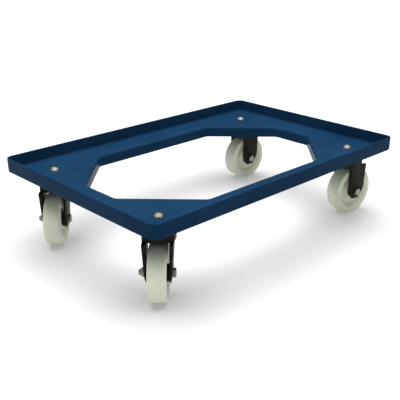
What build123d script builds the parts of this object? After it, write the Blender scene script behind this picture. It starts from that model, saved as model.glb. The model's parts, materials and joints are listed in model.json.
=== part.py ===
"""Four-wheel dolly for 600 x 400 stacking crates.

A one-piece moulded deck, open in the middle, stands on four swivel casters.
X is the long side, Y the short side, Z is up, and the origin is on the floor
under the middle of the deck. All lengths are in millimetres.
"""
import os
from math import cos, pi, radians, sin, sqrt

from build123d import *

os.makedirs("parts", exist_ok=True)

# ---------------------------------------------------------------- deck sizes
deck_length = 610.0
deck_width = 410.0
rim_height = 22.0  # rim above the ledge that the crate stands on
rim_wall = 4.0
rim_edge_radius = 1.4
ledge_width = 59.5  # outer face to opening
plate_thickness = 3.0
plate_edge_radius = 5.0
flange_drop = 21.0  # inner flange, below the ledge
flange_wall = 4.0
corner_radius = 15.0
gusset_leg = 104.5  # how far each 45 degree gusset cuts the opening's corner
opening_radius = 12.0
root_radius = 1.6
rib_thickness = 3.0
rib_pitch = 62.0
rib_reach = 24.0
rib_lift = 5.0  # rib's low end, above the flange's lower edge
rib_end_margin = 34.0  # last rib to the end of a straight side
gusset_rib_depth = 3.5
gusset_rib_spacing = 30.0
gate_mark_radius = 7.0
gate_mark_depth = 0.6
gate_mark_offset = 36.0  # from the caster's bolt towards the opening
head_recess_depth = 0.8  # the bolt's head sits this deep in the ledge

# -------------------------------------------------------------- caster sizes
caster_inset = 62.5  # swivel axis to both outer faces of the deck
pad_radius = 31.0
pad_height = 2.0
trail = 13.0
wheel_diameter = 94.0
wheel_headroom = 7.0  # wheel's top to the underside of the fork's crown
wheel_width = 29.0
tread_radius = 2.5
tread_crown = 0.6
rim_ring = 9.0  # flat ring on the wheel's side, below the rounded tread
dish_run = 7.0
web_width = 17.0
hub_radius = 17.0
hub_length = 23.4
hub_root = 2.0
wheel_side_radius = 1.5
leg_side_gap = 3.4  # wheel's side to the inner face of a leg
leg_thickness = 6.2
leg_depth = 40.0
boss_radius = 14.0
leg_foot = 15.0  # axle to the foot of the leg
leg_foot_width = 18.0
leg_foot_rise = 6.0
leg_chamfer_side = 5.0
leg_draft = 2.8  # how much each leg leans in from the crown to the axle seat
leg_foot_radius = 6.0
leg_chamfer_start = 3.0  # slanted foot's upper end, below the axle
seat_radius = 9.0  # flat round the axle hole
crown_radius = 27.0
crown_thickness = 24.0
crown_chamfer = 5.0
swivel_head_radius = 27.5
swivel_head_thickness = 6.0
swivel_head_chamfer = 0.8
race_pitch_radius = 17.0
race_width = 11.0
race_thickness = 4.0
race_roof = 4.0  # crown left between the lower race and the nut pocket
ball_diameter = 5.0

# ---------------------------------------------------------- fastener sizes
mount_bolt_diameter = 10.0
mount_head_diameter = 17.5
mount_head_height = 5.0
mount_head_edge = 0.8
mount_nut_width = 16.0
mount_nut_height = 10.0
bolt_tip = 2.0
bolt_tip_chamfer = 1.0
kingpin_wall = 2.25
kingpin_flange_width = 3.5
kingpin_flange = 2.0
axle_diameter = 8.0
axle_head_width = 13.0
axle_head_height = 5.3
axle_nut_height = 8.0
hexagon_chamfer = 0.8
nut_collar_height = 2.4
nut_collar_step = 1.2
sleeve_wall = 1.75
bush_wall = 3.0

# --------------------------------------------------------------- clearances
running_clearance = 0.05  # radial, shaft in a turning bore
bolt_clearance = 0.25  # radial, bolt in a plain hole
body_gap = 0.4  # between faces that pass each other
race_gap = 0.5  # crown to swivel head
hub_gap = 0.6  # hub to fork boss
head_recess_gap = 1.0  # radial, round the bolt's head
nut_pocket_gap = 1.5  # radial, round the nut and the kingpin's flange
ball_play = 0.3  # radial, in the upper race
ball_spacing = 0.9  # between neighbouring balls
overlap = 1.0  # how far joined or cutting shapes run past each other

# ------------------------------------------------------------ derived sizes
wheel_radius = wheel_diameter / 2
axle_height = wheel_radius
crown_bottom = wheel_diameter + wheel_headroom
crown_top = crown_bottom + crown_thickness
head_bottom = crown_top + race_gap
pad_bottom = head_bottom + swivel_head_thickness
ledge_underside = pad_bottom + pad_height
ledge_top = ledge_underside + plate_thickness
head_seat = ledge_top - head_recess_depth
flange_bottom = ledge_top - flange_drop
deck_height = ledge_top + rim_height  # floor to the top of the rim
opening_half_x = deck_length / 2 - ledge_width
opening_half_y = deck_width / 2 - ledge_width
caster_x = deck_length / 2 - caster_inset
caster_y = deck_width / 2 - caster_inset
fork_inner = wheel_width / 2 + leg_side_gap
fork_outer = fork_inner + leg_thickness
axle_seat = fork_outer - leg_draft
boss_face = hub_length / 2 + hub_gap
sleeve_radius = axle_diameter / 2 + bolt_clearance + sleeve_wall
kingpin_radius = mount_bolt_diameter / 2 + bolt_clearance + kingpin_wall
kingpin_flange_radius = kingpin_radius + kingpin_flange_width
nut_pocket_radius = max(mount_nut_width / sqrt(3), kingpin_flange_radius) + nut_pocket_gap
nut_pocket_top = crown_top - race_thickness - race_roof
kingpin_flange_top = nut_pocket_top - body_gap
nut_top = kingpin_flange_top - kingpin_flange
mount_bolt_end = nut_top - mount_nut_height - bolt_tip
ball_radius = ball_diameter / 2
ball_height = head_bottom - race_gap / 2
ball_count = int(2 * pi * race_pitch_radius / (ball_diameter + ball_spacing))

# Corner name, side along X and Y, heading of the wheel's trail, and the side
# of the fork that the axle bolt's head is on.
corners = [
    ("front_left", -1, -1, -136.0, 1),
    ("front_right", 1, -1, -8.0, -1),
    ("rear_left", -1, 1, -135.0, 1),
    ("rear_right", 1, 1, -4.0, -1),
]


def save(piece, name):
    """Label one finished piece and write it."""
    piece.part.label = name
    export_step(piece.part, f"parts/{name}.step")


def caster_planes(side_x, side_y, heading):
    """Floor plane at the swivel axis, the wheel's mid plane, and the upright
    plane across the wheel through its axle."""
    trail_direction = (cos(radians(heading)), sin(radians(heading)), 0)
    across = (-sin(radians(heading)), cos(radians(heading)), 0)
    foot = (side_x * caster_x, side_y * caster_y, 0)
    floor = Plane(origin=foot, x_dir=trail_direction, z_dir=(0, 0, 1))
    middle = Plane(
        origin=(
            foot[0] + trail * trail_direction[0],
            foot[1] + trail * trail_direction[1],
            axle_height,
        ),
        x_dir=trail_direction,
        z_dir=(-across[0], -across[1], 0),
    )
    upright = Plane(origin=middle.origin, x_dir=across, z_dir=trail_direction)
    return floor, middle, upright


def dome_middle(half, edge, rise):
    """Point half way along a bolt head's dome, seen from the side."""
    cap = rise - edge
    ball = (half**2 + cap**2) / (2 * cap)
    return half / 2, -(rise - ball + sqrt(ball**2 - (half / 2) ** 2))


# ================================================================ the deck
def opening_outline(grow=0.0):
    """Sketch the opening: a rectangle whose corners the gussets cut off."""
    half_x = opening_half_x + grow
    half_y = opening_half_y + grow
    leg = gusset_leg + grow * (2 - sqrt(2))
    points = [
        (half_x - leg, half_y),
        (-half_x + leg, half_y),
        (-half_x, half_y - leg),
        (-half_x, -half_y + leg),
        (-half_x + leg, -half_y),
        (half_x - leg, -half_y),
        (half_x, -half_y + leg),
        (half_x, half_y - leg),
    ]
    with BuildSketch() as outline:
        Polygon(*points, align=None)
        fillet(outline.vertices(), radius=opening_radius + grow)
    return outline.sketch


def web_corners(flange_back):
    """Triangular web under the ledge, from the flange's back outwards."""
    root = flange_back - flange_wall / 2
    low = flange_bottom + rib_lift
    return [
        (root, ledge_underside),
        (flange_back + rib_reach, ledge_underside),
        (flange_back, low),
        (root, low),
    ]


def rib_places(half_side):
    """Evenly spaced rib positions along one straight side of the flange."""
    reach = half_side - gusset_leg + rib_end_margin
    steps = int(reach // rib_pitch)
    return [step * rib_pitch for step in range(-steps, steps + 1)]


with BuildPart() as deck_frame:
    # ledge plate with its four gussets
    with BuildSketch(Plane.XY.offset(ledge_underside)):
        RectangleRounded(deck_length, deck_width, corner_radius)
        add(opening_outline(), mode=Mode.SUBTRACT)
    extrude(amount=plate_thickness)

    # raised rim
    with BuildSketch(Plane.XY.offset(ledge_underside)):
        RectangleRounded(deck_length, deck_width, corner_radius)
        RectangleRounded(
            deck_length - 2 * rim_wall,
            deck_width - 2 * rim_wall,
            corner_radius - rim_wall,
            mode=Mode.SUBTRACT,
        )
    extrude(amount=deck_height - ledge_underside)

    # flange round the opening
    with BuildSketch(Plane.XY.offset(flange_bottom)):
        add(opening_outline(flange_wall))
        add(opening_outline(), mode=Mode.SUBTRACT)
    extrude(amount=flange_drop)

    # rounded edges: rim top, opening, and the root of the rim
    ledge_face = deck_frame.faces().filter_by(Axis.Z).group_by(Axis.Z)[-2][0]
    fillet(ledge_face.inner_wires()[0].edges(), radius=plate_edge_radius)
    ledge_face = deck_frame.faces().filter_by(Axis.Z).group_by(Axis.Z)[-2][0]
    fillet(ledge_face.outer_wire().edges(), radius=root_radius)
    rim_top = deck_frame.faces().sort_by(Axis.Z)[-1]
    fillet(rim_top.edges(), radius=rim_edge_radius)

    # webs between the ledge and the flange
    flange_back_x = opening_half_x + flange_wall
    flange_back_y = opening_half_y + flange_wall
    for place in rib_places(opening_half_x):
        with BuildSketch(Plane.YZ.offset(place)):
            Polygon(*web_corners(flange_back_y), align=None)
            mirror(about=Plane.YZ)
        extrude(amount=rib_thickness / 2, both=True)
    for place in rib_places(opening_half_y):
        with BuildSketch(Plane.XZ.offset(place)):
            Polygon(*web_corners(flange_back_x), align=None)
            mirror(about=Plane.YZ)
        extrude(amount=rib_thickness / 2, both=True)

    # caster pads and gusset ribs under the plate
    opening_sum = opening_half_x + opening_half_y - gusset_leg
    edge_distance = (caster_x + caster_y - opening_sum) / sqrt(2)
    rib_start = sqrt(pad_radius**2 - (gusset_rib_spacing / 2 + rib_thickness) ** 2)
    for _, side_x, side_y, _, _ in corners:
        pad = Plane(
            origin=(side_x * caster_x, side_y * caster_y, ledge_underside),
            x_dir=(-side_x, -side_y, 0),
            z_dir=(0, 0, -1),
        )
        with BuildSketch(pad):
            Circle(pad_radius)
        extrude(amount=pad_height)
        with BuildSketch(pad):
            with Locations(((rib_start + edge_distance - flange_wall / 2) / 2, 0)):
                with GridLocations(0, gusset_rib_spacing, 1, 2):
                    Rectangle(edge_distance - flange_wall / 2 - rib_start, rib_thickness)
        extrude(amount=gusset_rib_depth)

    # bolt holes, the recesses for the bolts' heads, and the moulding's gate marks
    with BuildSketch(Plane.XY.offset(ledge_top)):
        with GridLocations(2 * caster_x, 2 * caster_y, 2, 2):
            Circle(mount_bolt_diameter / 2 + bolt_clearance)
    extrude(amount=-(plate_thickness + pad_height), mode=Mode.SUBTRACT)
    with BuildSketch(Plane.XY.offset(ledge_top)):
        with GridLocations(2 * caster_x, 2 * caster_y, 2, 2):
            Circle(mount_head_diameter / 2 + head_recess_gap)
    extrude(amount=-head_recess_depth, mode=Mode.SUBTRACT)
    mark_shift = gate_mark_offset / sqrt(2)
    with BuildSketch(Plane.XY.offset(ledge_top)):
        with GridLocations(2 * (caster_x - mark_shift), 2 * (caster_y - mark_shift), 2, 2):
            Circle(gate_mark_radius)
    extrude(amount=-gate_mark_depth, mode=Mode.SUBTRACT)

save(deck_frame, "deck_frame")


# ============================================================== the casters
def make_mount(name, floor):
    """Bolt, nut, fixed head and kingpin: the parts that stay with the deck."""
    shank = mount_bolt_diameter / 2
    with BuildPart() as mount_bolt:
        with BuildSketch(floor.offset(mount_bolt_end)):
            Circle(shank)
        extrude(amount=head_seat - mount_bolt_end)
        tip = mount_bolt.faces().sort_by(Axis.Z)[0]
        chamfer(tip.edges(), length=bolt_tip_chamfer)
        side = Plane(origin=floor.offset(head_seat).origin, x_dir=floor.x_dir, z_dir=floor.y_dir)
        with BuildSketch(side):
            with BuildLine():
                rise = mount_head_height
                half = mount_head_diameter / 2
                edge = mount_head_edge
                Polyline((0, -rise), (0, 0), (half, 0), (half, -edge))
                ThreePointArc((half, -edge), dome_middle(half, edge, rise), (0, -rise))
            make_face()
        revolve(axis=Axis(floor.origin, (0, 0, 1)))
    save(mount_bolt, f"mount_bolt_{name}")

    with BuildPart() as mount_nut:
        with BuildSketch(floor.offset(nut_top)):
            RegularPolygon(mount_nut_width / 2, 6, major_radius=False)
            Circle(shank, mode=Mode.SUBTRACT)
        extrude(amount=-(mount_nut_height - nut_collar_height))
        with BuildSketch(floor.offset(nut_top - mount_nut_height + nut_collar_height)):
            Circle(mount_nut_width / 2 - nut_collar_step)
            Circle(shank, mode=Mode.SUBTRACT)
        extrude(amount=-nut_collar_height)
    save(mount_nut, f"mount_nut_{name}")

    with BuildPart() as kingpin:
        with BuildSketch(floor.offset(kingpin_flange_top)):
            Circle(kingpin_radius)
            Circle(shank + bolt_clearance, mode=Mode.SUBTRACT)
        extrude(amount=pad_bottom - kingpin_flange_top)
        with BuildSketch(floor.offset(nut_top)):
            Circle(kingpin_flange_radius)
            Circle(shank + bolt_clearance, mode=Mode.SUBTRACT)
        extrude(amount=kingpin_flange)
    save(kingpin, f"kingpin_{name}")

    with BuildPart() as swivel_head:
        with BuildSketch(floor.offset(head_bottom)):
            Circle(swivel_head_radius)
            Circle(kingpin_radius, mode=Mode.SUBTRACT)
        extrude(amount=swivel_head_thickness)
        rim_edges = swivel_head.edges().filter_by(GeomType.CIRCLE).sort_by(SortBy.RADIUS)[-2:]
        chamfer(rim_edges, length=swivel_head_chamfer)
        with BuildSketch(race_section(floor)):
            with Locations((race_pitch_radius, 0)):
                Circle(ball_radius + ball_play)
        revolve(axis=Axis(floor.origin, (0, 0, 1)), mode=Mode.SUBTRACT)
    save(swivel_head, f"swivel_head_{name}")


def race_section(floor):
    """Upright plane through the swivel axis, at the height of the balls."""
    centre = floor.offset(ball_height).origin
    return Plane(origin=centre, x_dir=floor.x_dir, z_dir=-floor.y_dir)


def make_bearing(name, floor):
    """Lower race and balls, which turn with the fork."""
    inner = race_pitch_radius - race_width / 2
    with BuildPart() as race_ring:
        with BuildSketch(floor.offset(crown_top - race_thickness)):
            Circle(inner + race_width)
            Circle(inner, mode=Mode.SUBTRACT)
        extrude(amount=race_thickness)
        with BuildSketch(race_section(floor)):
            with Locations((race_pitch_radius, 0)):
                Circle(ball_radius + running_clearance)
        revolve(axis=Axis(floor.origin, (0, 0, 1)), mode=Mode.SUBTRACT)
    save(race_ring, f"race_ring_{name}")

    with BuildPart() as bearing_balls:
        with Locations(floor.offset(ball_height)):
            with PolarLocations(race_pitch_radius, ball_count):
                Sphere(ball_radius)
    save(bearing_balls, f"bearing_balls_{name}")


def make_fork(name, floor, middle, upright):
    """Moulded fork: round crown, two legs and an inward boss on each leg."""
    with BuildPart() as fork:
        # crown: the disc under the swivel head, run out to the legs
        with BuildSketch(floor.offset(crown_bottom)):
            with BuildLine():
                CenterArc((0, 0), crown_radius, 0, 360)
                with Locations((trail, 0)):
                    Polyline(
                        (-leg_depth / 2, -fork_outer),
                        (leg_depth / 2, -fork_outer),
                        (leg_depth / 2, fork_outer),
                        (-leg_depth / 2, fork_outer),
                        close=True,
                    )
            make_hull()
        extrude(amount=crown_thickness)
        crown_face = fork.faces().sort_by(Axis.Z)[-1]
        chamfer(crown_face.edges(), length=crown_chamfer, length2=crown_chamfer / 2)

        # legs, in the wheel's mid plane, and the bosses that reach the hub
        for side in (-1, 1):
            with BuildSketch(middle.offset(side * fork_inner)) as leg:
                Polygon(
                    (-leg_foot_width / 2, -leg_foot),
                    (leg_foot_width / 2, -leg_foot),
                    (leg_depth / 2, leg_foot_rise),
                    (leg_depth / 2, crown_bottom - axle_height + overlap),
                    (-leg_depth / 2, crown_bottom - axle_height + overlap),
                    (-leg_depth / 2, leg_foot_rise),
                    align=None,
                )
                fillet(leg.vertices().group_by(Axis.Y)[0], radius=leg_foot_radius)
            extrude(amount=side * leg_thickness)
            with BuildSketch(middle.offset(side * boss_face)):
                Circle(boss_radius)
            extrude(amount=side * (fork_outer - boss_face))

        # outer faces: draft down to the axle seat, and a slanted foot
        with BuildSketch(upright):
            Polygon(
                (fork_outer, crown_bottom - axle_height),
                (axle_seat, seat_radius),
                (axle_seat, -leg_chamfer_start),
                (fork_outer - leg_chamfer_side, -leg_foot - overlap),
                (fork_outer + overlap, -leg_foot - overlap),
                (fork_outer + overlap, crown_bottom - axle_height),
                align=None,
            )
            mirror(about=Plane.YZ)
        extrude(amount=leg_depth, both=True, mode=Mode.SUBTRACT)

        # bearing pocket, kingpin bore, nut pocket and axle hole
        with BuildSketch(floor.offset(crown_top)):
            Circle(race_pitch_radius + race_width / 2)
            Circle(race_pitch_radius - race_width / 2, mode=Mode.SUBTRACT)
        extrude(amount=-race_thickness, mode=Mode.SUBTRACT)
        with BuildSketch(floor.offset(crown_bottom)):
            Circle(kingpin_radius + running_clearance)
        extrude(amount=crown_thickness, mode=Mode.SUBTRACT)
        with BuildSketch(floor.offset(crown_bottom)):
            Circle(nut_pocket_radius)
        extrude(amount=nut_pocket_top - crown_bottom, mode=Mode.SUBTRACT)
        with BuildSketch(middle):
            Circle(axle_diameter / 2 + bolt_clearance)
        extrude(amount=2 * fork_outer, both=True, mode=Mode.SUBTRACT)
    save(fork, f"fork_{name}")


def make_axle(name, middle, head_side):
    """Hexagon bolt, lock nut and the sleeve that they clamp between the bosses."""
    shank = axle_diameter / 2
    outward = -head_side
    with BuildPart() as axle_bolt:
        with BuildSketch(middle.offset(outward * axle_seat)):
            RegularPolygon(axle_head_width / 2, 6, major_radius=False)
        extrude(amount=outward * axle_head_height)
        crown = axle_bolt.faces().sort_by(Axis(middle.origin, outward * middle.z_dir))[-1]
        chamfer(crown.edges(), length=hexagon_chamfer)
        with BuildSketch(middle.offset(outward * axle_seat)):
            Circle(shank)
        extrude(amount=-outward * (2 * axle_seat + axle_nut_height + bolt_tip))
    save(axle_bolt, f"axle_bolt_{name}")

    with BuildPart() as axle_nut:
        with BuildSketch(middle.offset(-outward * axle_seat)):
            RegularPolygon(axle_head_width / 2, 6, major_radius=False)
        extrude(amount=-outward * (axle_nut_height - nut_collar_height))
        crown = axle_nut.faces().sort_by(Axis(middle.origin, -outward * middle.z_dir))[-1]
        chamfer(crown.edges(), length=hexagon_chamfer)
        with BuildSketch(middle.offset(-outward * axle_seat)):
            Circle(axle_head_width / 2 - nut_collar_step)
        extrude(amount=-outward * axle_nut_height)
        with BuildSketch(middle.offset(-outward * axle_seat)):
            Circle(shank)
        extrude(amount=-outward * axle_nut_height, mode=Mode.SUBTRACT)
    save(axle_nut, f"axle_nut_{name}")

    with BuildPart() as axle_sleeve:
        with BuildSketch(middle):
            Circle(sleeve_radius)
            Circle(shank + bolt_clearance, mode=Mode.SUBTRACT)
        extrude(amount=boss_face, both=True)
    save(axle_sleeve, f"axle_sleeve_{name}")


def make_wheel(name, middle, upright):
    """Nylon wheel with dished sides, and the bush pressed into its hub."""
    bush_inner = sleeve_radius + running_clearance
    bush_outer = bush_inner + bush_wall
    with BuildPart() as hub_bush:
        with BuildSketch(middle):
            Circle(bush_outer)
            Circle(bush_inner, mode=Mode.SUBTRACT)
        extrude(amount=hub_length / 2, both=True)
    save(hub_bush, f"hub_bush_{name}")

    half = wheel_width / 2
    shoulder = wheel_radius - tread_crown
    ring_outer = shoulder - tread_radius
    ring_inner = ring_outer - rim_ring
    bend = tread_radius * (1 - 1 / sqrt(2))
    with BuildPart() as wheel:
        with BuildSketch(upright) as section:
            with BuildLine():
                Polyline(
                    (half, ring_outer),
                    (half, ring_inner),
                    (web_width / 2, ring_inner - dish_run),
                    (web_width / 2, hub_radius + hub_root),
                    (hub_length / 2, hub_radius),
                    (hub_length / 2, bush_outer),
                    (0, bush_outer),
                    (0, wheel_radius),
                )
                ThreePointArc(
                    (half, ring_outer),
                    (half - bend, shoulder - bend),
                    (half - tread_radius, shoulder),
                )
                tread_middle = (half - tread_radius) / 2
                ThreePointArc(
                    (half - tread_radius, shoulder),
                    (tread_middle, wheel_radius - tread_crown / 4),
                    (0, wheel_radius),
                )
            make_face()
            side_corners = section.vertices().filter_by_position(
                Axis.Y, hub_radius - overlap, ring_inner + overlap
            )
            fillet(side_corners, radius=wheel_side_radius)
            mirror(about=Plane.YZ)
        revolve(axis=Axis(middle.origin, middle.z_dir))
    save(wheel, f"wheel_{name}")


for name, side_x, side_y, heading, head_side in corners:
    floor, middle, upright = caster_planes(side_x, side_y, heading)
    make_mount(name, floor)
    make_bearing(name, floor)
    make_fork(name, floor, middle, upright)
    make_axle(name, middle, head_side)
    make_wheel(name, middle, upright)
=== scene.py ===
import json
import math

import bmesh
import bpy
from mathutils import Matrix, Vector


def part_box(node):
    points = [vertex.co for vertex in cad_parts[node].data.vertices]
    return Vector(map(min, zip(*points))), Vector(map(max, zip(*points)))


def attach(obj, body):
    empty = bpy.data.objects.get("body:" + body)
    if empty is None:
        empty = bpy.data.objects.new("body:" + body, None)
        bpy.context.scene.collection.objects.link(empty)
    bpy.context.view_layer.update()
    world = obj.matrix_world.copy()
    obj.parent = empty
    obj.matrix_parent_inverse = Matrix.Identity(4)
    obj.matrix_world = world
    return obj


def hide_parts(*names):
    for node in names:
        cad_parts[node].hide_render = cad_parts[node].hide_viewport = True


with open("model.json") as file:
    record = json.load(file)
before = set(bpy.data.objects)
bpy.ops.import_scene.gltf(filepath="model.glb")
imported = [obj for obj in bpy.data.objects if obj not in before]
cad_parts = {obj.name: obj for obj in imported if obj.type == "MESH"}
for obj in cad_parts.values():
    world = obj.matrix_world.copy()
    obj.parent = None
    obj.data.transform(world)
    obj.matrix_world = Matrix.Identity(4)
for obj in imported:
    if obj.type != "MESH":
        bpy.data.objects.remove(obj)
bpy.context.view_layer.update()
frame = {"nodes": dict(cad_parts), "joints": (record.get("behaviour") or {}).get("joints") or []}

# ------------------------------------------------------------------ sizes, metres
DECK_LOW, DECK_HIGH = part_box("deck_frame")
HALF_X, HALF_Y, RIM_TOP = DECK_HIGH.x, DECK_HIGH.y, DECK_HIGH.z
FLANGE_BOTTOM = DECK_LOW.z
RIM_HEIGHT = 0.022
RIM_WALL = 0.004
WALL_DRAFT = 0.0006
LEDGE_WIDTH = 0.0595
PLATE = 0.003
FLANGE_WALL = 0.004
CORNER_RADIUS = 0.015
GUSSET_LEG = 0.1045
OPENING_RADIUS = 0.012
LEDGE_TOP = RIM_TOP - RIM_HEIGHT
LEDGE_UNDER = LEDGE_TOP - PLATE
OPENING_X = HALF_X - LEDGE_WIDTH
OPENING_Y = HALF_Y - LEDGE_WIDTH
SECTION_MEETING = 0.014  # where the rim's section and the opening's section meet
RIM_FOOT_RADIUS = 0.0009
RIM_OUTER_RADIUS = 0.0014
RIM_INNER_RADIUS = 0.0012
RIM_ROOT_RADIUS = 0.0018
OPENING_EDGE_RADIUS = 0.005
FLANGE_EDGE_RADIUS = 0.0010
FLANGE_ROOT_RADIUS = 0.0025

JOIN_OVERLAP = 0.0005  # how far an added piece reaches into the plate
PAD_RADIUS = 0.031
PAD_HEIGHT = 0.002
PAD_EDGE_RADIUS = 0.0008
PAD_DRAFT = 0.0008
PAD_SEGMENTS = 64
RIB_HEIGHT = 0.0045
RIB_CENTRE_DEPTH = 0.00125
RIB_OFFSET = 0.015
RIB_TUCK = 0.004  # how far a rib starts inside the pad
RIB_EDGE_RADIUS = 0.0006
WEB_PITCH = 0.062
WEB_REACH = 0.024
WEB_THICKNESS = 0.003
WEB_LIFT = 0.005
WEB_END_MARGIN = 0.034
WEB_TIP = 0.0006
WEB_FOOT = 0.0015
WEB_EDGE_RADIUS = 0.0005
GATE_MARK_OFFSET = 0.036
GATE_MARK_RADIUS = 0.007
GATE_MARK_DEPTH = 0.0006
HEAD_RECESS_RADIUS = 0.00975
HEAD_RECESS_DEPTH = 0.0008
RECESS_EDGE_RADIUS = 0.0003
RECESS_DRAFT = 0.0002
RECESS_FLARE = 0.0006
RECESS_CLEARANCE = 0.001

WHEEL_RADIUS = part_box("wheel_front_left")[1].z / 2
WHEEL_HALF_WIDTH = 0.0145
TREAD_RADIUS = 0.0025
TREAD_CROWN = 0.0006
RIM_RING = 0.009
DISH_RUN = 0.007
WEB_HALF_WIDTH = 0.0085
HUB_RADIUS = 0.017
HUB_ROOT = 0.002
HUB_HALF_LENGTH = 0.0117
HUB_BORE = 0.00905
BORE_EDGE_RADIUS = 0.0006
HUB_EDGE_RADIUS = 0.0010
HUB_ROOT_RADIUS = 0.0015
DISH_ROOT_RADIUS = 0.0022
RING_EDGE_RADIUS = 0.0016
WHEEL_SEGMENTS = 128
WHEEL_ARC_STEPS = 8

FORK_EDGE_RADIUS = 0.0009
FORK_WELD = 2e-6

WELD = 1e-6
CORNERS = ("front_left", "front_right", "rear_left", "rear_right")
JOINTS = {joint["name"]: joint for joint in frame["joints"]}


# ------------------------------------------------------------------ mesh helpers
def new_object(name, mesh, material=None):
    """Link a mesh as an object at the origin and give it its material."""
    piece = bpy.data.objects.new(name, mesh)
    bpy.context.scene.collection.objects.link(piece)
    if material is not None:
        mesh.materials.clear()
        mesh.materials.append(material)
    return piece


def finish_mesh(shape, name, smooth_angle=35.0):
    """Weld a bmesh, point its faces outwards and shade it smooth up to an angle."""
    bmesh.ops.remove_doubles(shape, verts=shape.verts, dist=WELD)
    bmesh.ops.recalc_face_normals(shape, faces=shape.faces)
    mesh = bpy.data.meshes.new(name)
    shape.to_mesh(mesh)
    shape.free()
    shade(mesh, smooth_angle)
    return mesh


def shade(mesh, smooth_angle=35.0):
    """Smooth faces, with sharp edges where they meet at more than the angle."""
    mesh.shade_smooth()
    mesh.set_sharp_from_angle(angle=math.radians(smooth_angle))


def rounded(points, radii, steps=6):
    """Polyline with each inner corner replaced by an arc of its own radius."""
    path = [Vector(points[0])]
    for before, corner, after, radius in zip(points, points[1:], points[2:], radii):
        corner = Vector(corner)
        to_before = (Vector(before) - corner).normalized()
        to_after = (Vector(after) - corner).normalized()
        half_turn = to_before.angle(to_after) / 2
        if radius <= 0 or half_turn > math.radians(89):
            path.append(corner)
            continue
        reach = radius / math.tan(half_turn)
        centre = corner + (to_before + to_after).normalized() * radius / math.sin(half_turn)
        start, end = corner + to_before * reach - centre, corner + to_after * reach - centre
        turn = start.angle(end)
        for step in range(steps + 1):
            part = step / steps
            weight_start = math.sin((1 - part) * turn) / math.sin(turn)
            weight_end = math.sin(part * turn) / math.sin(turn)
            path.append(centre + start * weight_start + end * weight_end)
    path.append(Vector(points[-1]))
    return path


def lathe(profile, place, segments=96, closed=False):
    """Turn a profile of (radius, height) about the local Z of a placement."""
    shape = bmesh.new()
    layer = shape.loops.layers.uv.new("turned")
    rows = []
    for step in range(segments):
        angle = 2 * math.pi * step / segments
        cos, sin = math.cos(angle), math.sin(angle)
        points = [place @ Vector((p[0] * cos, p[0] * sin, p[1])) for p in profile]
        rows.append([shape.verts.new(point) for point in points])
    along = [0.0]
    for here, there in zip(profile, profile[1:]):
        along.append(along[-1] + (Vector(there) - Vector(here)).length)
    count = len(profile)
    for step in range(segments):
        row, next_row = rows[step], rows[(step + 1) % segments]
        for index in range(count if closed else count - 1):
            after = (index + 1) % count
            corners = (row[index], next_row[index], next_row[after], row[after])
            spans = (step, step + 1, step + 1, step)
            heights = (along[index], along[index], along[after], along[after])
            face = shape.faces.new(corners)
            for loop, span, height in zip(face.loops, spans, heights):
                loop[layer].uv = (span / segments, height * 10)
    bmesh.ops.dissolve_degenerate(shape, dist=1e-7, edges=shape.edges)
    return shape


def merged(name, meshes, material):
    """One object from several meshes that are already in place."""
    shape = bmesh.new()
    for mesh in meshes:
        shape.from_mesh(mesh)
    result = bpy.data.meshes.new(name)
    shape.to_mesh(result)
    shape.free()
    shade(result)
    for mesh in meshes:
        bpy.data.meshes.remove(mesh)
    return new_object(name, result, material)


def block(size, place, bevel):
    """Box with rounded edges, centred on a placement."""
    shape = bmesh.new()
    bmesh.ops.create_cube(shape, size=1.0)
    bmesh.ops.scale(shape, vec=Vector(size), verts=shape.verts)
    bmesh.ops.bevel(shape, geom=shape.edges, offset=bevel, segments=2, affect="EDGES")
    bmesh.ops.transform(shape, matrix=place, verts=shape.verts)
    return finish_mesh(shape, "block")


def frame_at(origin, x_axis, z_axis):
    """Placement with the given origin, X direction and Z direction."""
    z_axis = Vector(z_axis).normalized()
    x_axis = Vector(x_axis).normalized()
    y_axis = z_axis.cross(x_axis)
    turn = Matrix((x_axis, y_axis, z_axis)).transposed().to_4x4()
    return Matrix.Translation(origin) @ turn


# ------------------------------------------------------------------ material helpers
def material(name, color, roughness, metallic=0.0, ior=1.5, gloss=0.5):
    """Principled material with its uniform values on the shader's own sockets."""
    made = bpy.data.materials.new(name)
    made.use_nodes = True
    made.diffuse_color = (*color, 1)
    shader = made.node_tree.nodes["Principled BSDF"]
    shader.inputs["Base Color"].default_value = (*color, 1)
    shader.inputs["Roughness"].default_value = roughness
    shader.inputs["Metallic"].default_value = metallic
    shader.inputs["IOR"].default_value = ior
    shader.inputs["Specular IOR Level"].default_value = gloss
    return made, made.node_tree, shader


def node(tree, kind, **values):
    """Add a node; keyword names are its properties or its input sockets."""
    made = tree.nodes.new(kind)
    for key, value in values.items():
        if hasattr(made, key):
            setattr(made, key, value)
        else:
            made.inputs[key.replace("_", " ")].default_value = value
    return made


def noise(tree, scale, detail=4.0, roughness=0.55, stretch=(1, 1, 1)):
    """Noise on object coordinates, stretched if asked."""
    place = node(tree, "ShaderNodeTexCoord")
    mapping = node(tree, "ShaderNodeMapping")
    mapping.inputs["Scale"].default_value = stretch
    tree.links.new(place.outputs["Object"], mapping.inputs["Vector"])
    made = node(tree, "ShaderNodeTexNoise", Scale=scale, Detail=detail, Roughness=roughness)
    tree.links.new(mapping.outputs["Vector"], made.inputs["Vector"])
    return made.outputs["Fac"]


def remap(tree, value, low, high, to_low, to_high):
    """Clamp and rescale a value."""
    made = node(tree, "ShaderNodeMapRange")
    made.inputs["From Min"].default_value = low
    made.inputs["From Max"].default_value = high
    made.inputs["To Min"].default_value = to_low
    made.inputs["To Max"].default_value = to_high
    tree.links.new(value, made.inputs["Value"])
    return made.outputs["Result"]


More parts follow.
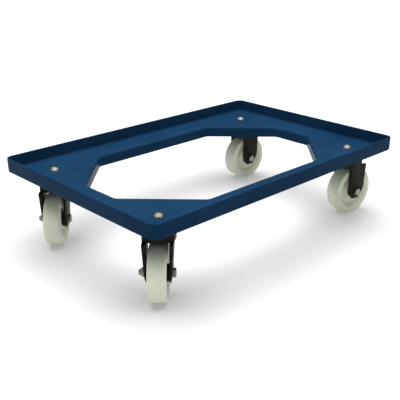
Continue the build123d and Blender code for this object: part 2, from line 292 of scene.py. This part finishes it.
def blend_colors(tree, factor, first, second):
    """Mix two colours by a value."""
    made = node(tree, "ShaderNodeMix", data_type="RGBA")
    made.inputs[6].default_value = (*first, 1)
    made.inputs[7].default_value = (*second, 1)
    tree.links.new(factor, made.inputs[0])
    return made.outputs[2]


def bump(tree, shader, layers):
    """Chain bump layers of (height, strength, distance) into the shader."""
    previous = None
    for height, strength, distance in layers:
        made = node(tree, "ShaderNodeBump", Strength=strength, Distance=distance)
        tree.links.new(height, made.inputs["Height"])
        if previous is not None:
            tree.links.new(previous, made.inputs["Normal"])
        previous = made.outputs["Normal"]
    tree.links.new(previous, shader.inputs["Normal"])


def scuffs(tree, stretch):
    """Thin broken scratches: the narrow zero lines of stretched noise, in patches."""
    lines = noise(tree, 60.0, 1.0, 0.4, stretch)
    near = node(tree, "ShaderNodeMath", operation="SUBTRACT")
    tree.links.new(lines, near.inputs[0])
    near.inputs[1].default_value = 0.5
    size = node(tree, "ShaderNodeMath", operation="ABSOLUTE")
    tree.links.new(near.outputs[0], size.inputs[0])
    thin = remap(tree, size.outputs[0], 0.0, 0.006, 1.0, 0.0)
    patches = remap(tree, noise(tree, 14.0, 2.0), 0.55, 0.68, 0.0, 1.0)
    both = node(tree, "ShaderNodeMath", operation="MULTIPLY")
    tree.links.new(thin, both.inputs[0])
    tree.links.new(patches, both.inputs[1])
    return both.outputs[0]


def blue_polypropylene():
    """Injection-moulded blue deck: soft gloss, faint flow marks, fine handling scuffs."""
    made, tree, shader = material(
        "blue_polypropylene", (0.005, 0.026, 0.063), 0.3, ior=1.46, gloss=0.014
    )
    flow = noise(tree, 7.0, 3.0, 0.5, (1.0, 1.6, 2.5))
    share = remap(tree, flow, 0.3, 0.7, 0, 1)
    tone = blend_colors(tree, share, (0.0040, 0.0235, 0.056), (0.0075, 0.0315, 0.074))
    marks = scuffs(tree, (1.0, 4.0, 1.0))
    worn = node(tree, "ShaderNodeMix", data_type="RGBA")
    worn.inputs[7].default_value = (0.03, 0.09, 0.16, 1)
    tree.links.new(remap(tree, marks, 0, 1, 0, 0.35), worn.inputs[0])
    tree.links.new(tone, worn.inputs[6])
    tree.links.new(worn.outputs[2], shader.inputs["Base Color"])
    grain = noise(tree, 900.0, 2.0, 0.6)
    rough = remap(tree, noise(tree, 35.0, 5.0), 0.3, 0.75, 0.22, 0.34)
    tree.links.new(rough, shader.inputs["Roughness"])
    waves = noise(tree, 18.0, 2.0, 0.4)
    bump(tree, shader, [(waves, 0.25, 0.0012), (grain, 0.12, 0.0002), (marks, 0.3, 0.0001)])
    return made


def black_glass_nylon():
    """Black glass-filled nylon: satin, with the fibres' fine mottle."""
    made, tree, shader = material(
        "black_glass_nylon", (0.012, 0.011, 0.008), 0.42, ior=1.53, gloss=0.04
    )
    mottle = noise(tree, 260.0, 4.0, 0.65, (1.0, 1.0, 0.35))
    share = remap(tree, mottle, 0.35, 0.7, 0, 1)
    tone = blend_colors(tree, share, (0.011, 0.010, 0.007), (0.022, 0.020, 0.014))
    tree.links.new(tone, shader.inputs["Base Color"])
    rough = remap(tree, noise(tree, 40.0, 4.0), 0.3, 0.7, 0.36, 0.5)
    tree.links.new(rough, shader.inputs["Roughness"])
    bump(tree, shader, [(noise(tree, 1400.0, 2.0), 0.25, 0.0002), (mottle, 0.15, 0.0003)])
    return made


def white_nylon():
    """Cast white nylon wheel: waxy, slightly translucent, with fine turning marks."""
    made, tree, shader = material("white_nylon", (0.69, 0.73, 0.58), 0.36, ior=1.53, gloss=0.2)
    shader.inputs["Subsurface Weight"].default_value = 0.25
    shader.inputs["Subsurface Radius"].default_value = (1.0, 0.9, 0.6)
    shader.inputs["Subsurface Scale"].default_value = 0.0025
    cloud = noise(tree, 30.0, 3.0)
    share = remap(tree, cloud, 0.3, 0.7, 0, 1)
    tone = blend_colors(tree, share, (0.655, 0.70, 0.545), (0.73, 0.77, 0.62))
    dust = remap(tree, noise(tree, 320.0, 3.0, 0.7), 0.66, 0.74, 0.0, 0.35)
    dusty = node(tree, "ShaderNodeMix", data_type="RGBA")
    dusty.inputs[7].default_value = (0.34, 0.33, 0.27, 1)
    tree.links.new(dust, dusty.inputs[0])
    tree.links.new(tone, dusty.inputs[6])
    tree.links.new(dusty.outputs[2], shader.inputs["Base Color"])
    rough = remap(tree, noise(tree, 90.0, 4.0), 0.3, 0.7, 0.3, 0.44)
    tree.links.new(rough, shader.inputs["Roughness"])
    turned = node(tree, "ShaderNodeUVMap", uv_map="turned")
    rings = node(
        tree, "ShaderNodeTexWave", wave_type="BANDS", bands_direction="Y", wave_profile="SIN"
    )
    rings.inputs["Scale"].default_value = 160.0
    rings.inputs["Distortion"].default_value = 0.6
    rings.inputs["Detail"].default_value = 1.0
    tree.links.new(turned.outputs["UV"], rings.inputs["Vector"])
    grain = noise(tree, 700.0, 2.0)
    bump(tree, shader, [(rings.outputs["Fac"], 0.12, 0.0001), (grain, 0.1, 0.0002)])
    return made


def zinc_plate(name, dark, light):
    """Zinc plating on fasteners, with faint mottling between two tones."""
    made, tree, shader = material(name, light, 0.46, metallic=1.0)
    cloud = noise(tree, 220.0, 4.0, 0.6)
    tone = blend_colors(tree, remap(tree, cloud, 0.35, 0.7, 0, 1), dark, light)
    tree.links.new(tone, shader.inputs["Base Color"])
    rough = remap(tree, noise(tree, 420.0, 3.0), 0.3, 0.7, 0.40, 0.56)
    tree.links.new(rough, shader.inputs["Roughness"])
    bump(tree, shader, [(noise(tree, 900.0, 3.0), 0.15, 0.0002)])
    return made


def bearing_steel():
    """Ground bearing steel with a trace of grease."""
    made, tree, shader = material("bearing_steel", (0.56, 0.56, 0.57), 0.16, metallic=1.0)
    rough = remap(tree, noise(tree, 300.0, 3.0), 0.3, 0.7, 0.1, 0.26)
    tree.links.new(rough, shader.inputs["Roughness"])
    bump(tree, shader, [(noise(tree, 1600.0, 2.0), 0.08, 0.0001)])
    return made


def acetal():
    """Dark acetal for the hub bushes."""
    made, tree, shader = material("dark_acetal", (0.03, 0.03, 0.032), 0.35)
    rough = remap(tree, noise(tree, 200.0, 3.0), 0.3, 0.7, 0.28, 0.42)
    tree.links.new(rough, shader.inputs["Roughness"])
    bump(tree, shader, [(noise(tree, 1200.0, 2.0), 0.1, 0.0001)])
    return made


DECK_BLUE = blue_polypropylene()
FORK_BLACK = black_glass_nylon()
WHEEL_WHITE = white_nylon()
ZINC = zinc_plate("zinc_plate", (0.27, 0.25, 0.20), (0.40, 0.38, 0.32))
# Darker copy of the same zinc for the mount bolts' heads, which face the overhead lamp: painted
# shade that holds them down to the side nuts' brightness, not a different finish.
ZINC_PAINTED_SHADE = zinc_plate("dull_zinc_plate", (0.13, 0.12, 0.095), (0.22, 0.205, 0.17))
STEEL = bearing_steel()
ACETAL = acetal()


# ------------------------------------------------------------------ deck moulding
STRAIGHT_STEPS, ARC_STEPS, LEAD_STEPS, CORNER_STEPS = 6, 6, 5, 16
QUARTER_LEAN = math.radians(22.5)  # half the 45 degree turn at each end of a gusset


def spread(start, end, steps):
    """Points from start, leaving out end."""
    start, end = Vector(start), Vector(end)
    return [start.lerp(end, step / steps) for step in range(steps)]


def arc(centre, radius, from_degrees, to_degrees, steps):
    """Points on an arc, leaving out its end."""
    points = []
    for step in range(steps):
        angle = math.radians(from_degrees + (to_degrees - from_degrees) * step / steps)
        x = centre[0] + radius * math.cos(angle)
        y = centre[1] + radius * math.sin(angle)
        points.append(Vector((x, y)))
    return points


def opening_quarter(grow):
    """A quarter of the opening's outline, moved outwards, from long side to short side."""
    x, y = OPENING_X + grow, OPENING_Y + grow
    leg = GUSSET_LEG + grow * (2 - math.sqrt(2))
    radius = OPENING_RADIUS + grow
    reach = radius * math.tan(QUARTER_LEAN)
    lean = reach / math.sqrt(2)
    points = spread((0, y), (x - leg - reach, y), STRAIGHT_STEPS)
    points += arc((x - leg - reach, y - radius), radius, 90, 45, ARC_STEPS)
    slope_steps = 2 * LEAD_STEPS + CORNER_STEPS
    points += spread((x - leg + lean, y - lean), (x - lean, y - leg + lean), slope_steps)
    points += arc((x - radius, y - leg - reach), radius, 45, 0, ARC_STEPS)
    points += spread((x, y - leg - reach), (x, 0), STRAIGHT_STEPS)
    return points + [Vector((x, 0))]


def outer_quarter(inset):
    """A quarter of the outer outline, moved inwards, with as many points."""
    x, y = HALF_X - inset, HALF_Y - inset
    radius = CORNER_RADIUS - inset
    turn_x, turn_y = OPENING_X - GUSSET_LEG, OPENING_Y - GUSSET_LEG
    half_arc = OPENING_RADIUS * math.tan(QUARTER_LEAN)
    points = spread((0, y), (turn_x - half_arc, y), STRAIGHT_STEPS)
    points += spread((turn_x - half_arc, y), (turn_x + half_arc, y), ARC_STEPS)
    points += spread((turn_x + half_arc, y), (x - radius, y), LEAD_STEPS)
    points += arc((x - radius, y - radius), radius, 90, 0, CORNER_STEPS)
    points += spread((x, y - radius), (x, turn_y + half_arc), LEAD_STEPS)
    points += spread((x, turn_y + half_arc), (x, turn_y - half_arc), ARC_STEPS)
    points += spread((x, turn_y - half_arc), (x, 0), STRAIGHT_STEPS)
    return points + [Vector((x, 0))]


def whole_loop(quarter):
    """All four quarters of an outline, as one closed loop."""
    loop = []
    for sign_x, sign_y, backwards in ((1, 1, False), (1, -1, True), (-1, -1, False), (-1, 1, True)):
        points = [Vector((p.x * sign_x, p.y * sign_y)) for p in quarter]
        if backwards:
            points.reverse()
        loop += points[:-1]
    return loop


def deck_shell():
    """Rim, ledge, gussets and flange: one section carried round the deck."""
    plain = SECTION_MEETING
    outer = rounded(
        [
            (plain, LEDGE_UNDER),
            (WALL_DRAFT, LEDGE_UNDER),
            (0, RIM_TOP),
            (RIM_WALL - WALL_DRAFT, RIM_TOP),
            (RIM_WALL, LEDGE_TOP),
            (plain, LEDGE_TOP),
        ],
        [RIM_FOOT_RADIUS, RIM_OUTER_RADIUS, RIM_INNER_RADIUS, RIM_ROOT_RADIUS],
    )
    inner = rounded(
        [
            (plain, LEDGE_TOP),
            (0, LEDGE_TOP),
            (WALL_DRAFT, FLANGE_BOTTOM),
            (FLANGE_WALL - WALL_DRAFT, FLANGE_BOTTOM),
            (FLANGE_WALL, LEDGE_UNDER),
            (plain, LEDGE_UNDER),
        ],
        [OPENING_EDGE_RADIUS, FLANGE_EDGE_RADIUS, FLANGE_EDGE_RADIUS, FLANGE_ROOT_RADIUS],
    )
    shape = bmesh.new()
    rings = []
    for quarter_of, section in ((outer_quarter, outer), (opening_quarter, inner)):
        for distance, height in section:
            loop = whole_loop(quarter_of(distance))
            rings.append([shape.verts.new((p.x, p.y, height)) for p in loop])
    for ring, next_ring in zip(rings, rings[1:] + rings[:1]):
        for index in range(len(ring)):
            after = (index + 1) % len(ring)
            shape.faces.new((ring[index], ring[after], next_ring[after], next_ring[index]))
    return finish_mesh(shape, "deck_shell")


def web_template():
    """One stiffening web: a wedge from the flange's back to the ledge, rounded."""
    back = -FLANGE_WALL / 2
    low = FLANGE_BOTTOM + WEB_LIFT - LEDGE_UNDER
    shape = bmesh.new()
    outline = [
        (back, JOIN_OVERLAP),
        (WEB_REACH, JOIN_OVERLAP),
        (WEB_REACH, -WEB_TIP),
        (WEB_FOOT, low),
        (back, low),
    ]
    sides = []
    for across in (-WEB_THICKNESS / 2, WEB_THICKNESS / 2):
        sides.append([shape.verts.new((across, y, z)) for y, z in outline])
    shape.faces.new(sides[0])
    shape.faces.new(reversed(sides[1]))
    for index in range(len(outline)):
        after = (index + 1) % len(outline)
        shape.faces.new((sides[0][index], sides[0][after], sides[1][after], sides[1][index]))
    bmesh.ops.recalc_face_normals(shape, faces=shape.faces)
    bmesh.ops.bevel(
        shape, geom=shape.edges, offset=WEB_EDGE_RADIUS, segments=2, affect="EDGES"
    )
    return finish_mesh(shape, "web")


def group_inputs(tree, **kinds):
    tree.interface.new_socket("Geometry", in_out="INPUT", socket_type="NodeSocketGeometry")
    for name, kind in kinds.items():
        tree.interface.new_socket(name.replace("_", " "), in_out="INPUT", socket_type=kind)
    tree.interface.new_socket("Geometry", in_out="OUTPUT", socket_type="NodeSocketGeometry")
    return tree.nodes.new("NodeGroupInput"), tree.nodes.new("NodeGroupOutput")


def run_tree(tree, name, **values):
    """Evaluate a geometry tree with these inputs and return a plain mesh."""
    base = bpy.data.objects.new(name, bpy.data.meshes.new(name))
    bpy.context.scene.collection.objects.link(base)
    modifier = base.modifiers.new(name, "NODES")
    modifier.node_group = tree
    for item in tree.interface.items_tree:
        if item.in_out == "INPUT" and item.name.replace(" ", "_") in values:
            modifier[item.identifier] = values[item.name.replace(" ", "_")]
    bpy.context.view_layer.update()
    graph = bpy.context.evaluated_depsgraph_get()
    mesh = bpy.data.meshes.new_from_object(base.evaluated_get(graph))
    bpy.data.objects.remove(base)
    return mesh


def row_tree():
    """Geometry tree: copies of a piece at an even pitch, centred on the origin."""
    tree = bpy.data.node_groups.new("web_row", "GeometryNodeTree")
    given, result = group_inputs(
        tree,
        Piece="NodeSocketObject",
        Count="NodeSocketInt",
        Pitch="NodeSocketFloat",
        Finish="NodeSocketMaterial",
    )
    step = node(tree, "ShaderNodeCombineXYZ")
    tree.links.new(given.outputs["Pitch"], step.inputs["X"])
    line = node(tree, "GeometryNodeMeshLine")
    tree.links.new(given.outputs["Count"], line.inputs["Count"])
    tree.links.new(step.outputs[0], line.inputs["Offset"])
    less = node(tree, "ShaderNodeMath", operation="SUBTRACT")
    less.inputs[1].default_value = 1
    tree.links.new(given.outputs["Count"], less.inputs[0])
    span = node(tree, "ShaderNodeMath", operation="MULTIPLY")
    tree.links.new(less.outputs[0], span.inputs[0])
    tree.links.new(given.outputs["Pitch"], span.inputs[1])
    half = node(tree, "ShaderNodeMath", operation="MULTIPLY")
    half.inputs[1].default_value = -0.5
    tree.links.new(span.outputs[0], half.inputs[0])
    start = node(tree, "ShaderNodeCombineXYZ")
    tree.links.new(half.outputs[0], start.inputs["X"])
    tree.links.new(start.outputs[0], line.inputs["Start Location"])
    source = node(tree, "GeometryNodeObjectInfo")
    tree.links.new(given.outputs["Piece"], source.inputs["Object"])
    copies = node(tree, "GeometryNodeInstanceOnPoints")
    tree.links.new(line.outputs[0], copies.inputs["Points"])
    tree.links.new(source.outputs["Geometry"], copies.inputs["Instance"])
    real = node(tree, "GeometryNodeRealizeInstances")
    tree.links.new(copies.outputs[0], real.inputs[0])
    finish = node(tree, "GeometryNodeSetMaterial")
    tree.links.new(real.outputs[0], finish.inputs["Geometry"])
    tree.links.new(given.outputs["Finish"], finish.inputs["Material"])
    tree.links.new(finish.outputs[0], result.inputs[0])
    return tree


def web_rows():
    """Webs under the ledge, along all four sides."""
    template = new_object("web_template", web_template())
    tree = row_tree()
    rows = []
    long_sides = (OPENING_X, OPENING_Y, (0, 180))
    short_sides = (OPENING_Y, OPENING_X, (90, 270))
    for half_side, offset, turns in (long_sides, short_sides):
        steps = int((half_side - GUSSET_LEG + WEB_END_MARGIN) // WEB_PITCH)
        sizes = {"Piece": template, "Count": 2 * steps + 1, "Pitch": WEB_PITCH}
        for turn in turns:
            row = run_tree(tree, "web_row", Finish=DECK_BLUE, **sizes)
            shift = Matrix.Translation((0, offset + FLANGE_WALL, LEDGE_UNDER))
            row.transform(Matrix.Rotation(math.radians(turn), 4, "Z") @ shift)
            rows.append(row)
    bpy.data.objects.remove(template)
    return rows


def pad_and_ribs(corner):
    """Round caster pad under a gusset and its two ribs."""
    centre = Vector(JOINTS[f"swivel_{corner}"]["pos_m"])
    inwards = Vector((-math.copysign(1, centre.x), -math.copysign(1, centre.y), 0)).normalized()
    under = frame_at((centre.x, centre.y, LEDGE_UNDER), inwards, (0, 0, -1))
    foot = (PAD_RADIUS + PAD_DRAFT, -JOIN_OVERLAP)
    disc = rounded([(0, PAD_HEIGHT), (PAD_RADIUS, PAD_HEIGHT), foot], [PAD_EDGE_RADIUS])
    shape = lathe(disc + [(0, -JOIN_OVERLAP)], under, PAD_SEGMENTS)
    parts = [finish_mesh(shape, "pad")]
    opening_sum = OPENING_X + OPENING_Y - GUSSET_LEG
    edge = (abs(centre.x) + abs(centre.y) - opening_sum) / math.sqrt(2)
    rib_start = PAD_RADIUS - RIB_TUCK
    length = edge - rib_start - FLANGE_WALL / 2
    for side in (-1, 1):
        middle = (rib_start + length / 2, side * RIB_OFFSET, RIB_CENTRE_DEPTH)
        place = under @ Matrix.Translation(middle)
        parts.append(block((length, WEB_THICKNESS, RIB_HEIGHT), place, RIB_EDGE_RADIUS))
    return parts


def recess_cutters():
    """Flared discs that cut the bolt heads' recesses and the gate marks."""
    cutters = []
    for corner in CORNERS:
        centre = Vector(JOINTS[f"swivel_{corner}"]["pos_m"])
        inwards = Vector((-math.copysign(1, centre.x), -math.copysign(1, centre.y), 0)).normalized()
        top = frame_at((centre.x, centre.y, LEDGE_TOP), inwards, (0, 0, 1))
        for shift, radius, depth in (
            (0, HEAD_RECESS_RADIUS, HEAD_RECESS_DEPTH),
            (GATE_MARK_OFFSET, GATE_MARK_RADIUS, GATE_MARK_DEPTH),
        ):
            profile = [
                (0, -depth),
                (radius - RECESS_DRAFT, -depth),
                (radius, 0.0),
                (radius + RECESS_FLARE, RECESS_CLEARANCE),
            ]
            profile = rounded(profile, [RECESS_EDGE_RADIUS, RECESS_EDGE_RADIUS], 3)
            profile.append(Vector((0, RECESS_CLEARANCE)))
            place = top @ Matrix.Translation((shift, 0, 0))
            cutters.append(finish_mesh(lathe(profile, place, PAD_SEGMENTS), "cutter"))
    return cutters


def cut(mesh, cutters):
    """Subtract the cutters from a mesh and return the plain result."""
    body = new_object("cut_body", mesh)
    tool = merged("cutters", cutters, DECK_BLUE)
    modifier = body.modifiers.new("cut", "BOOLEAN")
    modifier.operation = "DIFFERENCE"
    modifier.solver = "EXACT"
    modifier.object = tool
    bpy.context.view_layer.update()
    graph = bpy.context.evaluated_depsgraph_get()
    result = bpy.data.meshes.new_from_object(body.evaluated_get(graph))
    bpy.data.objects.remove(body)
    bpy.data.objects.remove(tool)
    result.materials.clear()
    return result


def build_deck():
    """The whole moulding as one piece."""
    parts = [cut(deck_shell(), recess_cutters()), *web_rows()]
    for corner in CORNERS:
        parts += pad_and_ribs(corner)
    deck = merged("deck_moulding", parts, DECK_BLUE)
    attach(deck, "deck")
    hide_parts("deck_frame")


build_deck()


# ------------------------------------------------------------------ casters
def wheel_profile():
    """Closed half section of the wheel: bore, hub, dished web, flat ring, rounded tread."""
    shoulder = WHEEL_RADIUS - TREAD_CROWN
    ring_outer = shoulder - TREAD_RADIUS
    ring_inner = ring_outer - RIM_RING
    corners = [
        (HUB_BORE, 0),
        (HUB_BORE, HUB_HALF_LENGTH),
        (HUB_RADIUS, HUB_HALF_LENGTH),
        (HUB_RADIUS + HUB_ROOT, WEB_HALF_WIDTH),
        (ring_inner - DISH_RUN, WEB_HALF_WIDTH),
        (ring_inner, WHEEL_HALF_WIDTH),
        (shoulder, WHEEL_HALF_WIDTH),
        (WHEEL_RADIUS, 0),
    ]
    radii = [
        BORE_EDGE_RADIUS,
        HUB_EDGE_RADIUS,
        HUB_ROOT_RADIUS,
        DISH_ROOT_RADIUS,
        RING_EDGE_RADIUS,
        TREAD_RADIUS,
    ]
    half = rounded(corners, radii, WHEEL_ARC_STEPS)
    return half + [Vector((p.x, -p.y)) for p in reversed(half[1:-1])]


def build_wheel(corner):
    """Turned nylon wheel in place of the plain one."""
    joint = JOINTS[f"roll_{corner}"]
    place = frame_at(joint["pos_m"], (0, 0, 1), joint["axis"])
    shape = lathe(wheel_profile(), place, WHEEL_SEGMENTS, closed=True)
    wheel = new_object(f"nylon_wheel_{corner}", finish_mesh(shape, "wheel", 40), WHEEL_WHITE)
    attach(wheel, f"roller_{corner}")
    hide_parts(f"wheel_{corner}")


def build_fork(corner):
    """The moulded fork with its edges rounded."""
    shape = bmesh.new()
    shape.from_mesh(frame["nodes"][f"fork_{corner}"].data)
    bmesh.ops.remove_doubles(shape, verts=shape.verts, dist=FORK_WELD)
    bmesh.ops.dissolve_limit(
        shape, angle_limit=math.radians(0.5), verts=shape.verts, edges=shape.edges
    )
    mesh = finish_mesh(shape, "fork", 30)
    body = new_object("fork_body", mesh)
    modifier = body.modifiers.new("soft_edges", "BEVEL")
    modifier.width = FORK_EDGE_RADIUS
    modifier.segments = 2
    modifier.limit_method = "ANGLE"
    modifier.angle_limit = math.radians(28)
    bpy.context.view_layer.update()
    graph = bpy.context.evaluated_depsgraph_get()
    result = bpy.data.meshes.new_from_object(body.evaluated_get(graph))
    bpy.data.objects.remove(body)
    shade(result, 40)
    fork = new_object(f"moulded_fork_{corner}", result, FORK_BLACK)
    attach(fork, f"caster_{corner}")
    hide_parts(f"fork_{corner}")


CARRIED_FINISHES = {
    # painted shade: the mount bolts take the darker copy of the zinc
    "mount_bolt": ZINC_PAINTED_SHADE,
    "mount_nut": ZINC,
    "kingpin": ZINC,
    "swivel_head": FORK_BLACK,
    "race_ring": STEEL,
    "bearing_balls": STEEL,
    "axle_bolt": ZINC,
    "axle_nut": ZINC,
    "axle_sleeve": STEEL,
    "hub_bush": ACETAL,
}
for corner in CORNERS:
    for part, finish in CARRIED_FINISHES.items():
        node_object = frame["nodes"][f"{part}_{corner}"]
        node_object.data.materials.clear()
        node_object.data.materials.append(finish)
    build_wheel(corner)
    build_fork(corner)


# ------------------------------------------------------------------ stage, lights, camera
FLOOR_HALF_SIZE = 12.0
FLOOR_TONE = 0.50
GLOW_NEAR, GLOW_FAR = 0.2, 3.0  # distances over which the floor's glow grows
GLOW_WEAK, GLOW_STRONG = 0.20, 0.80
ROOM_LIGHT = 0.22
LAMPS = (  # name, place, size, power
    ("overhead", (0.2, 0.3, 3.0), 4.0, 265.0),
    ("fill", (-2.3, -2.5, 1.1), 2.4, 8.0),
)
CAMERA_AZIMUTH, CAMERA_ELEVATION = -43.76, 22.23
CAMERA_DISTANCE = 1.0227
CAMERA_TARGET = (-0.1926, -0.1804, RIM_TOP)
CAMERA_LENS, CAMERA_SENSOR = 61.4, 36.0


def build_stage():
    """Pale floor, a soft overhead box, a weak fill and the room's even light."""
    shape = bmesh.new()
    bmesh.ops.create_grid(shape, x_segments=1, y_segments=1, size=FLOOR_HALF_SIZE)
    floor = new_object("floor", finish_mesh(shape, "floor"))
    made, tree, shader = material("pale_floor", (FLOOR_TONE,) * 3, 0.7)
    rough = remap(tree, noise(tree, 3.0), 0.3, 0.7, 0.65, 0.75)
    tree.links.new(rough, shader.inputs["Roughness"])
    place = node(tree, "ShaderNodeTexCoord")
    away = node(tree, "ShaderNodeVectorMath", operation="LENGTH")
    tree.links.new(place.outputs["Object"], away.inputs[0])
    shader.inputs["Emission Color"].default_value = (1, 1, 1, 1)
    glow = remap(tree, away.outputs["Value"], GLOW_NEAR, GLOW_FAR, GLOW_WEAK, GLOW_STRONG)
    tree.links.new(glow, shader.inputs["Emission Strength"])
    floor.data.materials.append(made)
    world = bpy.data.worlds.new("studio")
    world.use_nodes = True
    room = world.node_tree.nodes["Background"]
    room.inputs["Color"].default_value = (0.95, 0.97, 1.0, 1)
    room.inputs["Strength"].default_value = ROOM_LIGHT
    bpy.context.scene.world = world
    for name, place, size, power in LAMPS:
        lamp = bpy.data.lights.new(name, "AREA")
        lamp.shape = "SQUARE"
        lamp.size = size
        lamp.energy = power
        holder = bpy.data.objects.new(name, lamp)
        holder.location = place
        holder.rotation_mode = "QUATERNION"
        holder.rotation_quaternion = (-Vector(place)).to_track_quat("-Z", "Y")
        bpy.context.scene.collection.objects.link(holder)
    bpy.context.scene.view_settings.view_transform = "Standard"


def build_camera():
    """Camera above the front left corner, looking across the deck."""
    azimuth, elevation = math.radians(CAMERA_AZIMUTH), math.radians(CAMERA_ELEVATION)
    back = Vector(
        (
            math.sin(azimuth) * math.cos(elevation),
            -math.cos(azimuth) * math.cos(elevation),
            math.sin(elevation),
        )
    )
    lens = bpy.data.cameras.new("camera")
    lens.sensor_width = CAMERA_SENSOR
    lens.lens = CAMERA_LENS
    holder = bpy.data.objects.new("camera", lens)
    holder.rotation_mode = "QUATERNION"
    holder.rotation_quaternion = (-back).to_track_quat("-Z", "Y")
    holder.location = Vector(CAMERA_TARGET) + back * CAMERA_DISTANCE
    bpy.context.scene.collection.objects.link(holder)
    bpy.context.scene.camera = holder


build_stage()
build_camera()
